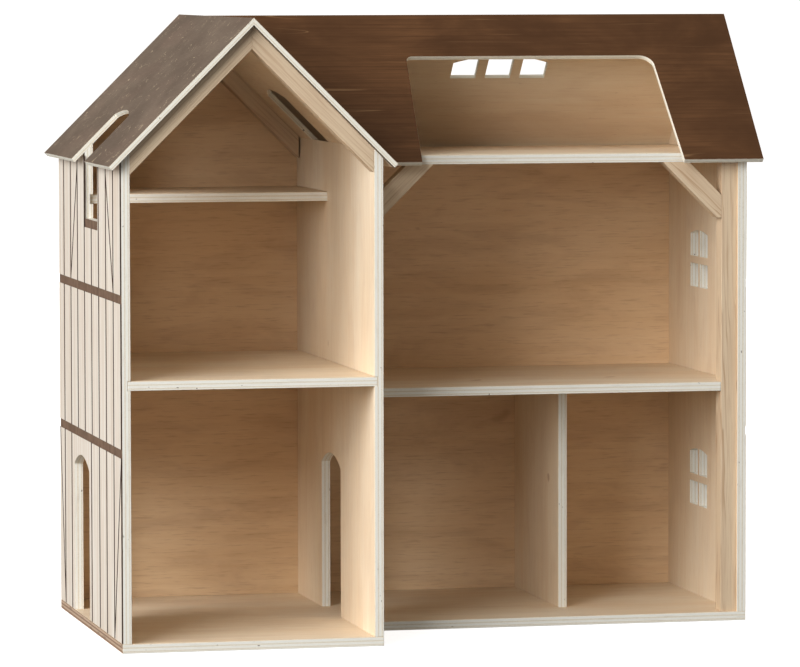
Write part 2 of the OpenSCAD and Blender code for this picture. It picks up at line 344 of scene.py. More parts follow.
# ---------------------------------------------------------------- finishes
@dataclass(frozen=True)
class Veneer:
    """A sanded plywood face: soft mottling, long streaks and short flecks."""

    name: str
    pale: Colour
    deep: Colour
    fleck: Colour
    streak_layer: Layer = Layer((4.0, 150.0, 90.0), 3.0, 0.6)
    streak_share: float = 0.5
    cloud_share: float = 0.12
    dash_share: float = 0.14
    fibre_share: float = 0.22
    fleck_share: float = 0.3
    pin_share: float = 0.55
    roughness: float = 0.6
    roughness_spread: float = 0.14
    relief: float = 0.08 * MM
    sheen: float = 0.3
    tone_fade: Span = (0.32, 0.68)
    fibre_fade: Span = (0.35, 0.7)
    mottle_layer: Layer = Layer((3.0, 11.0, 40.0), 3.0, 0.55)
    cloud_layer: Layer = Layer((10.0, 34.0, 40.0), 4.0, 0.62, 0.7, fade=(0.42, 0.72))
    dash_layer: Layer = Layer((38.0, 560.0, 300.0), 2.0, 0.6, fade=(0.52, 0.74))
    fibre_layer: Layer = Layer((55.0, 1700.0, 900.0))
    fleck_layer: Layer = Layer((120.0, 760.0, 700.0), 1.0, fade=(0.70, 0.80))
    knotty_layer: Layer = Layer((9.0, 30.0, 60.0), fade=(0.45, 0.62))
    pin_layer: Layer = Layer((21.0, 30.0, 40.0), 0.0, 0.5, 0.6, fade=(0.85, 0.89))

    def build(self) -> bpy.types.Material:
        """Writes the tree."""
        s = Shader(self.name)
        place = s.grain()
        mottle = s.noise(place, self.mottle_layer)
        cloud = s.noise(place, self.cloud_layer)
        dash = s.noise(place, self.dash_layer)
        streak = s.noise(place, self.streak_layer)
        fibre = s.noise(place, self.fibre_layer)
        fleck = s.noise(place, self.fleck_layer)
        knotty = s.noise(place, self.knotty_layer)
        pin = s.noise(place, self.pin_layer)
        share = mottle * (1 - self.streak_share) + streak * self.streak_share
        colour = s.mix(share.between(*self.tone_fade), self.deep, self.pale)
        colour = s.mix(fibre.between(*self.fibre_fade) * self.fibre_share, colour, self.deep)
        colour = s.mix(cloud * self.cloud_share, colour, self.fleck)
        colour = s.mix(dash * self.dash_share, colour, self.fleck)
        colour = s.mix(fleck * knotty * self.fleck_share, colour, self.fleck)
        colour = s.mix(pin * self.pin_share, colour, self.fleck)
        roughness = fibre * self.roughness_spread + (self.roughness - self.roughness_spread / 2)
        height = fibre * 0.7 + streak * 0.3 - fleck * 0.4
        return s.finish(colour, roughness, height, self.relief, self.sheen)


@dataclass(frozen=True)
class PlyEdge:
    """A cut plywood edge: plies in turn along and across, with thin glue lines."""

    name: str
    plies: int
    pale: Colour
    core: Colour
    glue: Colour
    glue_share: float = 0.42
    smudge_share: float = 0.12
    void: Colour = tone(84, 64, 50)
    core_share: float = 0.8
    pore_share: float = 0.3
    hair_share: float = 0.1
    speck_share: float = 0.7
    sway: float = 0.16
    turned_fade: Span = (0.22, 0.28)
    glue_fade: Span = (0.40, 0.5)
    roughness: float = 0.68
    roughness_spread: float = 0.12
    relief: float = 0.12 * MM
    sheen: float = 0.25
    sway_layer: Layer = Layer((14.0, 14.0, 0.0))
    pore_layer: Layer = Layer((1900.0, 1900.0, 1900.0), 1.0, fade=(0.52, 0.7))
    hair_layer: Layer = Layer((90.0, 90.0, 2600.0), fade=(0.45, 0.7))
    smudge_layer: Layer = Layer((38.0, 38.0, 260.0), 3.0, fade=(0.56, 0.74))
    speck_layer: Layer = Layer((300.0, 300.0, 520.0), 0.0, fade=(0.80, 0.84))
    spotted_layer: Layer = Layer((17.0, 17.0, 40.0), 1.0, fade=(0.54, 0.6))

    def build(self) -> bpy.types.Material:
        """Writes the tree."""
        s = Shader(self.name)
        place = s.grain()
        sway = s.noise(place, self.sway_layer) - 0.5
        layer = s.ply() * self.plies + sway * self.sway
        turned = abs((layer * 0.5).fraction() - 0.5).between(*self.turned_fade)
        glue = abs(layer.fraction() - 0.5).between(*self.glue_fade)
        pores = s.noise(place, self.pore_layer)
        hairs = s.noise(place, self.hair_layer)
        smudge = s.noise(place, self.smudge_layer)
        speck = s.noise(place, self.speck_layer)
        spotted = s.noise(place, self.spotted_layer)
        colour = s.mix(turned * self.core_share, self.pale, self.core)
        colour = s.mix(turned * pores * self.pore_share, colour, self.glue)
        colour = s.mix((1 - turned) * hairs * self.hair_share, colour, self.glue)
        colour = s.mix(smudge * self.smudge_share, colour, self.glue)
        colour = s.mix(glue * self.glue_share, colour, self.glue)
        colour = s.mix(speck * spotted * self.speck_share, colour, self.void)
        roughness = pores * self.roughness_spread + self.roughness
        height = 1 - glue * 0.5 - pores * turned * 0.4
        return s.finish(colour, roughness, height, self.relief, self.sheen)


@dataclass(frozen=True)
class Stain:
    """A stained veneer with drifting tone, fine grain and pale curled scratches."""

    name: str
    middle: Colour
    deep: Colour
    warm: Colour
    scratch: Colour
    streak_layer: Layer
    streak_share: float
    curl_layer: Layer
    curl_share: float
    curl_line: float
    patch_layer: Layer
    warm_share: float
    knot_share: float
    fibre_share: float = 0.25
    roughness: float = 0.6
    relief: float = 0.1 * MM
    sheen: float = 0.15
    drift_fade: Span = (0.3, 0.7)
    blush_fade: Span = (0.42, 0.75)
    streak_fade: Span = (0.3, 0.75)
    fibre_fade: Span = (0.4, 0.7)
    drift_layer: Layer = Layer((9.0, 14.0, 9.0), 4.0, 0.6, 0.4)
    blush_layer: Layer = Layer((6.0, 17.0, 7.0), 3.0, 0.5, 0.8)
    fibre_layer: Layer = Layer((60.0, 1500.0, 900.0))
    knot_layer: Layer = Layer((30.0, 42.0, 20.0), 3.0, 0.6, 1.5, fade=(0.66, 0.78))

    def build(self) -> bpy.types.Material:
        """Writes the tree."""
        s = Shader(self.name)
        place = s.grain()
        drift = s.noise(place, self.drift_layer)
        blush = s.noise(place, self.blush_layer)
        streak = s.noise(place, self.streak_layer)
        fibre = s.noise(place, self.fibre_layer)
        curl = s.noise(place, self.curl_layer)
        line = abs(curl - 0.5).between(self.curl_line, 0.0)
        patch = s.noise(place, self.patch_layer)
        knots = s.noise(place, self.knot_layer)
        colour = s.mix(drift.between(*self.drift_fade), self.deep, self.middle)
        colour = s.mix(blush.between(*self.blush_fade) * self.warm_share, colour, self.warm)
        colour = s.mix(streak.between(*self.streak_fade) * self.streak_share, colour, self.deep)
        colour = s.mix(fibre.between(*self.fibre_fade) * self.fibre_share, colour, self.deep)
        colour = s.mix(knots * self.knot_share, colour, self.deep)
        colour = s.mix(line * patch * self.curl_share, colour, self.scratch)
        roughness = fibre * 0.16 + streak * 0.1 + (self.roughness - 0.13)
        height = fibre * 0.5 + streak * 0.3 + line * patch * 0.3
        return s.finish(colour, roughness, height, self.relief, self.sheen)


@dataclass(frozen=True)
class Pine:
    """A sawn pine strip: growth rings cut lengthwise, with darker late wood."""

    name: str
    early: Colour
    late: Colour
    ring_gap: float = 0.0036
    taper: float = 0.05
    pith: Span = (0.019, -0.034)
    bend: float = 0.014
    late_share: float = 0.6
    fibre_share: float = 0.3
    drift_share: float = 0.2
    late_rise: Span = (0.55, 0.92)
    late_fall: Span = (1.0, 0.95)
    fibre_fade: Span = (0.45, 0.72)
    drift_fade: Span = (0.4, 0.8)
    roughness: float = 0.58
    roughness_spread: float = 0.16
    relief: float = 0.1 * MM
    sheen: float = 0.3
    bend_layer: Layer = Layer((4.0, 60.0, 60.0), 3.0, 0.6)
    strong_layer: Layer = Layer((3.0, 160.0, 160.0), 1.0, fade=(0.35, 0.75))
    fibre_layer: Layer = Layer((22.0, 900.0, 900.0), 3.0, 0.6)
    drift_layer: Layer = Layer((6.0, 60.0, 60.0))

    def build(self) -> bpy.types.Material:
        """Writes the tree."""
        s = Shader(self.name)
        place = s.grain()
        bend = s.noise(place, self.bend_layer) * self.bend
        flat = s.vector("MULTIPLY", place, (self.taper, 1.0, 1.0))
        centred = s.vector("SUBTRACT", flat, (0.0, *self.pith))
        radius = s.signal("ShaderNodeVectorMath", {"operation": "LENGTH"}, {0: centred}, "Value")
        ring = ((radius + bend) / self.ring_gap).fraction()
        late = ring.between(*self.late_rise) * ring.between(*self.late_fall)
        strong = s.noise(place, self.strong_layer)
        fibre = s.noise(place, self.fibre_layer)
        drift = s.noise(place, self.drift_layer)
        colour = s.mix(late * strong * self.late_share, self.early, self.late)
        colour = s.mix(fibre.between(*self.fibre_fade) * self.fibre_share, colour, self.late)
        colour = s.mix(drift.between(*self.drift_fade) * self.drift_share, colour, self.late)
        roughness = fibre * self.roughness_spread + (self.roughness - self.roughness_spread / 2)
        height = fibre * 0.5 + late * 0.5
        return s.finish(colour, roughness, height, self.relief, self.sheen)


@dataclass(frozen=True)
class Scorch:
    """Burnt wood in the bands and the scored lines."""

    name: str
    brown: Colour
    dark: Colour
    light: Colour
    light_share: float = 0.5
    cloud_fade: Span = (0.3, 0.7)
    fibre_fade: Span = (0.5, 0.75)
    roughness: float = 0.8
    roughness_spread: float = 0.2
    relief: float = 0.15 * MM
    sheen: float = 0.15
    cloud_layer: Layer = Layer((60.0, 90.0, 60.0), 3.0, 0.6)
    fibre_layer: Layer = Layer((90.0, 1500.0, 600.0), 3.0, 0.6)

    def build(self) -> bpy.types.Material:
        """Writes the tree."""
        s = Shader(self.name)
        place = s.grain()
        cloud = s.noise(place, self.cloud_layer)
        fibre = s.noise(place, self.fibre_layer)
        colour = s.mix(cloud.between(*self.cloud_fade), self.dark, self.brown)
        colour = s.mix(fibre.between(*self.fibre_fade) * self.light_share, colour, self.light)
        roughness = fibre * self.roughness_spread + (self.roughness - self.roughness_spread / 2)
        height = fibre * 0.6 + cloud * 0.4
        return s.finish(colour, roughness, height, self.relief, self.sheen)


Finish = Veneer | PlyEdge | Stain | Pine | Scorch

FACE = Veneer(
    "birch_face", tone(243, 229, 207), tone(235, 213, 184), tone(178, 138, 100), streak_share=0.3
)
# Birch for the back panels. Its cloudier, dashier grain is the panels' own; its darker, warmer tone
# than the face birch is painted shade for the backs of the rooms.
SHADED_BACK_BIRCH = Veneer(
    "birch_back_painted_shade", tone(240, 215, 182), tone(228, 197, 158), tone(164, 116, 76),
    Layer((4.0, 190.0, 90.0), 3.0, 0.6), streak_share=0.3, cloud_share=0.2, dash_share=0.26,
)
OUTSIDE = Veneer(
    "scored_face", tone(225, 218, 208), tone(208, 193, 177), tone(176, 146, 120),
    Layer((4.0, 118.0, 90.0), 3.0, 0.6), streak_share=0.85, cloud_share=0.1,
)
EDGE = PlyEdge("ply_edge", 5, tone(243, 242, 235), tone(233, 225, 208), tone(166, 144, 118))
THIN_EDGE = PlyEdge(
    "roof_ply_edge", 3, tone(242, 240, 230), tone(232, 224, 206), tone(176, 156, 130),
    glue_share=0.35,
)
SMOKED_EDGE = PlyEdge(
    "smoked_edge", 5, tone(196, 172, 148), tone(128, 96, 74), tone(78, 54, 42),
    glue_share=0.75, smudge_share=0.6,
)
TAUPE = Stain(
    "taupe_stain", tone(124, 109, 95), tone(103, 89, 77), tone(130, 107, 94), tone(196, 178, 152),
    streak_layer=Layer((14.0, 120.0, 60.0), 5.0, 0.65), streak_share=0.3,
    curl_layer=Layer((46.0, 54.0, 40.0), 1.0, 0.5, 1.2), curl_share=0.72, curl_line=0.013,
    patch_layer=Layer((46.0, 54.0, 40.0), 1.0, fade=(0.51, 0.57)),
    warm_share=0.35, knot_share=0.3,
)
BROWN = Stain(
    "brown_stain", tone(116, 82, 54), tone(82, 55, 34), tone(114, 81, 54), tone(156, 124, 90),
    streak_layer=Layer((7.0, 360.0, 60.0), 5.0, 0.65), streak_share=0.8,
    curl_layer=Layer((2.2, 44.0, 20.0), 1.0, 0.5, 0.6), curl_share=0.45, curl_line=0.007,
    patch_layer=Layer((12.0, 60.0, 20.0), 1.0, fade=(0.5, 0.6)),
    warm_share=0.4, knot_share=0.2,
)
PINE = Pine("pine_strip", tone(221, 200, 172), tone(170, 130, 94))
BURNT = Scorch("burnt_band", tone(124, 100, 83), tone(100, 79, 64), tone(146, 122, 104))
CHAR = Scorch("burnt_line", tone(62, 41, 31), tone(46, 30, 22), tone(86, 62, 48))


class Wardrobe:
    """Builds each finish once."""

    made: dict[str, bpy.types.Material] = {}

    @classmethod
    def material(cls, finish: Finish) -> bpy.types.Material:
        """The finish's material, built at its first use."""
        if finish.name not in cls.made:
            cls.made[finish.name] = finish.build()
        return cls.made[finish.name]


# ---------------------------------------------------------------- boards
class Way(Enum):
    """Directions that a board's grain or its outer face can have."""

    RIGHT = (1.0, 0.0, 0.0)
    BACK = (0.0, 1.0, 0.0)
    UP = (0.0, 0.0, 1.0)
    LEFT = (-1.0, 0.0, 0.0)
    FRONT = (0.0, -1.0, 0.0)
    UP_LEFT = (-ROOT_HALF, 0.0, ROOT_HALF)
    UP_RIGHT = (ROOT_HALF, 0.0, ROOT_HALF)
    UP_FRONT = (0.0, -ROOT_HALF, ROOT_HALF)
    UP_BACK = (0.0, ROOT_HALF, ROOT_HALF)

    @property
    def vector(self) -> Vector:
        """The direction as a unit vector."""
        return Vector(self.value)


@dataclass(frozen=True)
class Coat:
    """The finishes of a board's outer face, inner face, cut edges and burnt places."""

    outer: Finish
    inner: Finish
    edge: Finish
    burnt: Finish = BURNT
    groove: Finish = CHAR

    def order(self) -> list[Finish]:
        """The finishes in the order of the mesh's material slots."""
        return [self.outer, self.inner, self.edge, self.burnt, self.groove]


class Face(Enum):
    """Slot number of each kind of face, in the order of Coat."""

    OUTER = 0
    INNER = 1
    EDGE = 2
    BURNT = 3
    GROOVE = 4


@dataclass(frozen=True)
class Pattern:
    """Sizes of the burnt lines and bands, back from the wing's front and up from the ground."""

    plank: float = 42.2 * MM
    offset: float = 2 * MM
    width: float = 5 * MM
    depth: float = 0.6 * MM
    band_low: float = 185.5 * MM
    band_up: float = 332 * MM
    band_h: float = 8.5 * MM
    sill: float = 404 * MM
    window: Span = (134 * MM, 212 * MM)

    def bands(self) -> list[Patch]:
        """The bands of a wall: two right across it, and one under the open-topped window."""
        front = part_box("left_wall")[0].y
        across = (front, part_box("left_wall")[1].y)
        under = (front + self.window[0], front + self.window[1])
        low, up, sill = self.band_low, self.band_up, self.sill
        return [
            (across, (low, low + self.band_h)),
            (across, (up, up + self.band_h)),
            (under, (sill - self.band_h, sill)),
        ]


@dataclass
class Board:
    """One board: a softened copy of its CAD solid, dressed by which way each face looks."""

    node: str
    out: Way
    grain: Way
    coat: Coat
    slot: str
    thick: float
    bands: list[Patch] = field(default_factory=list)
    smoked: Way | None = None
    # y of the plane in front of which the inner face takes the darker outer finish.
    lap: float | None = None
    rounding: float = 0.45 * MM
    shift: Triple = (0.0, 0.0, 0.0)
    recess_depth: float = 1.2 * MM
    flat_area: float = 60 * MM * MM

    def build(self) -> None:
        """Makes the piece that stands for the board's node, and hangs it on the body."""
        shape = bmesh.new()
        shape.from_mesh(frame["nodes"][self.node].data)
        bmesh.ops.remove_doubles(shape, verts=shape.verts, dist=WELD)
        bmesh.ops.dissolve_limit(
            shape, angle_limit=FLAT_ANGLE, verts=shape.verts, edges=shape.edges
        )
        self.cut_bands(shape)
        self.sort_faces(shape)
        # Darkens the inner face in front of the plane y = lap with the outer finish.
        self.darken_overhang_underside(shape)
        self.soften(shape)
        bmesh.ops.recalc_face_normals(shape, faces=shape.faces)
        mesh = bpy.data.meshes.new(self.node + "_board")
        shape.to_mesh(mesh)
        shape.free()
        mark(mesh, self.out, self.grain, self.shift, self.thick)
        for finish in self.coat.order():
            mesh.materials.append(Wardrobe.material(finish))
        mesh.set_sharp_from_angle(angle=SHADING_ANGLE)
        for side in mesh.polygons:
            side.use_smooth = side.area < self.flat_area
        piece = bpy.data.objects.new(self.node + "_board", mesh)
        bpy.context.scene.collection.objects.link(piece)
        place_piece(piece, self.slot, self.node)

    def recess(self, side: bmesh.types.BMFace, top: float) -> bool:
        """Tells whether a face is the floor or a side of a scored recess.

        Args:
            side: The face.
            top: How far out the board's outer face lies.

        Returns:
            Whether it is.
        """
        out = self.out.vector
        depth = top - min(vert.co.dot(out) for vert in side.verts)
        facing = side.normal.dot(out)
        return bool(self.bands) and SLACK < depth < self.recess_depth and facing > -FACING

    def cut_bands(self, shape: bmesh.types.BMesh) -> None:
        """Cuts the recess floors along the bands, so that bands and lines are separate faces.

        Args:
            shape: The board's shape.
        """
        out = self.out.vector
        top = max(vert.co.dot(out) for vert in shape.verts)
        for level in (level for _, heights in self.bands for level in heights):
            floors = [
                side
                for side in shape.faces
                if side.normal.dot(out) > FACING and self.recess(side, top)
            ]
            around = {part for side in floors for part in (*side.verts, *side.edges)}
            bmesh.ops.bisect_plane(
                shape, geom=[*floors, *around], plane_co=(0.0, 0.0, level), plane_no=(0.0, 0.0, 1.0)
            )

    def in_band(self, side: bmesh.types.BMFace) -> bool:
        """Tells whether a face of a recess belongs to a band."""
        spot = side.calc_center_median()
        return any(
            back[0] <= spot.y <= back[1] and up[0] - SLACK <= spot.z <= up[1] + SLACK
            for back, up in self.bands
        )

    def sort_faces(self, shape: bmesh.types.BMesh) -> None:
        """Gives each face the slot that its direction and depth call for.

        Args:
            shape: The board's shape.
        """
        out = self.out.vector
        top = max(vert.co.dot(out) for vert in shape.verts)
        for side in shape.faces:
            facing = side.normal.dot(out)
            if self.recess(side, top):
                kind = Face.BURNT if self.in_band(side) else Face.GROOVE
            elif abs(facing) > FACING:
                kind = Face.OUTER if facing > 0 else Face.INNER
            elif self.smoked and side.normal.dot(self.smoked.vector) > FACING:
                kind = Face.BURNT
            else:
                kind = Face.EDGE
            side.material_index = kind.value

    def darken_overhang_underside(self, shape: bmesh.types.BMesh) -> None:
        """Gives the inner face the darker outer finish in front of the plane y = lap, which darkens
        the underside of the overhang.

        Args:
            shape: The board's shape.
        """
        if self.lap is None:
            return
        under = [side for side in shape.faces if side.material_index == Face.INNER.value]
        around = {part for side in under for part in (*side.verts, *side.edges)}
        bmesh.ops.bisect_plane(
            shape, geom=[*under, *around], plane_co=(0.0, self.lap, 0.0), plane_no=(0.0, 1.0, 0.0)
        )
        for side in shape.faces:
            if side.material_index == Face.INNER.value and side.calc_center_median().y < self.lap:
                side.material_index = Face.OUTER.value

    def soften(self, shape: bmesh.types.BMesh) -> None:
        """Rounds the outward corners, except where a recess begins.

        Args:
            shape: The board's shape.
        """
        burnt = (Face.BURNT.value, Face.GROOVE.value)
        corners = [
            edge
            for edge in shape.edges
            if len(edge.link_faces) == 2
            and edge.is_convex
            and edge.calc_face_angle() > CORNER_ANGLE
            and not (self.bands and any(side.material_index in burnt for side in edge.link_faces))
        ]
        bmesh.ops.bevel(
            shape,
            geom=corners,
            offset=self.rounding,
            offset_type="OFFSET",
            segments=CORNER_STEPS,
            profile=ROUND_PROFILE,
            affect="EDGES",
            clamp_overlap=True,
            material=-1,
        )


def mark(mesh: bpy.types.Mesh, out: Way, along: Way, shift: Triple, thick: float) -> None:
    """Writes the attributes that the finishes read.

    Args:
        mesh: The mesh to mark.
        out: The way that its outer face looks.
        along: The way that its grain runs.
        shift: Where on the sheet of wood the board was cut.
        thick: Its thickness.
    """
    outward, lengthwise = out.vector, along.vector
    across = outward.cross(lengthwise)
    top = max(vert.co.dot(outward) for vert in mesh.vertices)
    mesh.attributes.new(GRAIN, "FLOAT_VECTOR", "POINT")
    mesh.attributes.new(PLY, "FLOAT", "POINT")
    grain, ply = mesh.attributes[GRAIN], mesh.attributes[PLY]
    for vert, spot, share in zip(mesh.vertices, grain.data, ply.data):
        depth = top - vert.co.dot(outward)
        own = Vector((vert.co.dot(lengthwise), vert.co.dot(across), depth))
        spot.vector = own + Vector(shift)
        share.value = depth / thick


def place_piece(piece: bpy.types.Object, slot: str, *nodes: str) -> None:
    """Hangs a finished piece on the body and reports it.

    Args:
        piece: The piece, in place.
        slot: The record's material slot; not used.
        *nodes: The CAD nodes that it stands for.
    """
    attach(piece, BODY)
    if nodes:
        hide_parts(*nodes)
    log.info("%s: %d faces", piece.name, len(piece.data.polygons))


# ---------------------------------------------------------------- sub-assemblies
@dataclass
class Shell:
    """The base board, the three walls and the two back panels."""

    ply: float = PLYWOOD
    back_ply: float = 4 * MM
    plain: Coat = Coat(FACE, FACE, EDGE)
    # The back panels wear the birch whose darker, warmer tone is painted shade.
    backs: Coat = Coat(SHADED_BACK_BIRCH, SHADED_BACK_BIRCH, EDGE)
    ground: Coat = Coat(FACE, FACE, EDGE, SMOKED_EDGE)
    outside: Coat = Coat(OUTSIDE, FACE, EDGE)

    def build(self) -> None:
        """Makes every board of the shell."""
        ply, thin, bands = self.ply, self.back_ply, Pattern().bands()
        Board(
            "base_board", Way.UP, Way.RIGHT, self.ground, "birch_ply", ply,
            smoked=Way.LEFT, shift=(1.3, 0.2, 0.0),
        ).build()
        Board(
            "left_wall", Way.LEFT, Way.UP, self.outside, "scored_ply", ply, bands,
            shift=(0.4, 2.1, 0.0),
        ).build()
        Board(
            "middle_wall", Way.LEFT, Way.UP, self.plain, "birch_ply", ply, shift=(2.7, 0.9, 0.0)
        ).build()
        Board(
            "right_wall", Way.RIGHT, Way.UP, self.outside, "scored_ply", ply, bands[:2],
            shift=(3.1, 1.6, 0.0),
        ).build()
        for node, shift in (("wing_back", (4.2, 0.3, 0.0)), ("main_back", (5.5, 3.3, 0.0))):
            Board(
                node, Way.FRONT, Way.RIGHT, self.backs, "birch_ply", thin, shift=shift
            ).build()


@dataclass
class Floors:
    """The floors, the loft shelf and the upright partition."""

    ply: float = PLYWOOD
    coat: Coat = Coat(FACE, FACE, EDGE)
    shifts: dict[str, Triple] = field(
        default_factory=lambda: {
            "wing_floor": (6.1, 0.7, 0.0),
            "loft_shelf": (7.4, 1.9, 0.0),
            "main_floor": (8.2, 2.8, 0.0),
            "attic_floor": (9.3, 3.6, 0.0),
        }
    )

    def build(self) -> None:
        """Makes every floor and the partition."""
        for node, shift in self.shifts.items():
            Board(node, Way.UP, Way.RIGHT, self.coat, "birch_ply", self.ply, shift=shift).build()
        Board(
            "partition", Way.LEFT, Way.UP, self.coat, "birch_ply", self.ply, shift=(10.6, 4.1, 0)
        ).build()


@dataclass
class Roof:
    """The four roof panels, stained outside and bare inside, save the gable panels' inner faces in
    front of the rafters, which take the darker outer finish.
    """

    ply: float = 5 * MM
    rounding: float = 0.3 * MM
    gable: Coat = Coat(TAUPE, FACE, THIN_EDGE)
    main: Coat = Coat(BROWN, FACE, THIN_EDGE)

    def build(self) -> None:
        """Makes every roof panel."""
        rows = [
            ("gable_roof_left", Way.UP_LEFT, (0.6, 5.2, 0.0)),
            ("gable_roof_right", Way.UP_RIGHT, (1.7, 6.4, 0.0)),
            ("main_roof_front", Way.UP_FRONT, (2.2, 7.1, 0.0)),
            ("main_roof_back", Way.UP_BACK, (3.9, 8.3, 0.0)),
        ]
        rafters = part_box("front_rafter_right")[0].y
        for node, out, shift in rows:
            # On the gable panels, the underside in front of the rafters takes the darker outer
            # finish.
            if out in (Way.UP_LEFT, Way.UP_RIGHT):
                grain, coat, slot, lap = Way.BACK, self.gable, "taupe_stain", rafters
            else:
                grain, coat, slot, lap = Way.RIGHT, self.main, "brown_stain", None
            Board(
                node, out, grain, coat, slot, self.ply,
                lap=lap, rounding=self.rounding, shift=shift,
            ).build()


@dataclass
class Framing:
    """The pine rafters, posts and braces."""

    strip: float = 16 * MM
    coat: Coat = Coat(PINE, PINE, PINE)

    def build(self) -> None:
        """Makes every strip."""
        rows = [
            ("front_rafter_left", Way.UP_RIGHT, (0.3, 0.004, 0.0)),
            ("front_rafter_right", Way.UP_LEFT, (1.1, 0.052, 0.0)),
            ("back_rafter_left", Way.UP_RIGHT, (2.6, 0.028, 0.0)),
            ("back_rafter_right", Way.UP_LEFT, (3.4, -0.011, 0.0)),
            ("left_post", Way.UP, (4.7, 0.037, 0.0)),
            ("right_post", Way.UP, (5.3, -0.022, 0.0)),
            ("left_brace", Way.UP_RIGHT, (6.8, 0.016, 0.0)),
            ("right_brace", Way.UP_LEFT, (7.5, 0.045, 0.0)),
        ]
        for node, grain, shift in rows:
            Board(node, Way.FRONT, grain, self.coat, "pine", self.strip, shift=shift).build()


# ---------------------------------------------------------------- scored lines
class LineTree:
    """A Geometry Nodes tree that lays upright strips in a row, as high as a gable lets them."""

    def __init__(self) -> None:
        """Builds the tree and its named inputs."""
        self.group = bpy.data.node_groups.new("scored_lines", "GeometryNodeTree")
        self.ids: dict[str, str] = {}
        for name, kind in (
            ("Count", "NodeSocketInt"),
            ("Start", "NodeSocketVector"),
            ("Step", "NodeSocketVector"),
            ("Strip", "NodeSocketVector"),
            ("Peak place", "NodeSocketFloat"),
            ("Peak height", "NodeSocketFloat"),
            ("Top", "NodeSocketFloat"),
            ("Material", "NodeSocketMaterial"),
        ):
            made = self.group.interface.new_socket(name=name, in_out="INPUT", socket_type=kind)
            self.ids[name] = made.identifier
        self.group.interface.new_socket(
            name="Geometry", in_out="OUTPUT", socket_type="NodeSocketGeometry"
        )
        self.wire()

    def add(
        self, kind: str, settings: dict | None = None, inputs: dict | None = None
    ) -> bpy.types.Node:
        """Adds a node, sets it, then feeds its sockets with values or other sockets."""
        made = self.group.nodes.new(kind)
        for name, value in (settings or {}).items():
            setattr(made, name, value)
        for name, value in (inputs or {}).items():
            if isinstance(value, bpy.types.NodeSocket):
                self.group.links.new(value, made.inputs[name])
            else:
                made.inputs[name].default_value = value
        return made

    def math(self, operation: str, *values: "bpy.types.NodeSocket | float") -> bpy.types.NodeSocket:
        """One Math node's result."""
        settings = {"operation": operation}
        return self.add("ShaderNodeMath", settings, dict(enumerate(values))).outputs[0]

    def wire(self) -> None:
        """Lays the line of points, puts a strip on each and cuts it to the gable's height."""
        given = self.add("NodeGroupInput").outputs
        row = self.add(
            "GeometryNodeMeshLine",
            {"mode": "OFFSET"},
            {"Count": given["Count"], "Start Location": given["Start"], "Offset": given["Step"]},
        )
        strip = self.add("GeometryNodeMeshCube", None, {"Size": given["Strip"]}).outputs["Mesh"]
        spot = self.add("GeometryNodeInputPosition").outputs[0]
        place = self.add("ShaderNodeSeparateXYZ", None, {0: spot})
        off = self.math("ABSOLUTE", self.math("SUBTRACT", place.outputs[1], given["Peak place"]))
        roof = self.math("SUBTRACT", given["Peak height"], off)
        top = self.math("MINIMUM", roof, given["Top"])
        height = self.math("SUBTRACT", top, place.outputs[2])
        size = self.add("ShaderNodeCombineXYZ", None, {0: 1.0, 1: 1.0, 2: height}).outputs[0]
        copies = self.add(
            "GeometryNodeInstanceOnPoints",
            None,
            {"Points": row.outputs["Mesh"], "Instance": strip, "Scale": size},
        ).outputs[0]
        half = self.math("MULTIPLY", height, 0.5)
        lift = self.add("ShaderNodeCombineXYZ", None, {2: half}).outputs[0]
        raised = self.add(
            "GeometryNodeTranslateInstances",
            None,
            {"Instances": copies, "Translation": lift, "Local Space": False},
        ).outputs[0]
        solid = self.add("GeometryNodeRealizeInstances", None, {"Geometry": raised}).outputs[0]
        dressed = self.add(
            "GeometryNodeSetMaterial", None, {"Geometry": solid, "Material": given["Material"]}
        ).outputs[0]
        self.add("NodeGroupOutput", None, {"Geometry": dressed})

    def run(self, values: dict[str, object]) -> bpy.types.Mesh:
        """Evaluates the tree once.

        Args:
            values: The value of each named input.

        Returns:
            The strips as a plain mesh.
        """
        holder = bpy.data.objects.new("strip_maker", bpy.data.meshes.new("strip_maker"))
        bpy.context.scene.collection.objects.link(holder)
        modifier = holder.modifiers.new("lines", "NODES")
        modifier.node_group = self.group
        for name, value in values.items():
            modifier[self.ids[name]] = value
        holder.update_tag()
        graph = bpy.context.evaluated_depsgraph_get()
        mesh = bpy.data.meshes.new_from_object(holder.evaluated_get(graph), depsgraph=graph)
        bpy.data.objects.remove(holder)
        return mesh


@dataclass(frozen=True)
class Run:
    """Neighbouring lines that start at one height and end at one top or under the gable."""

    first: int
    count: int
    foot: float
    top: float


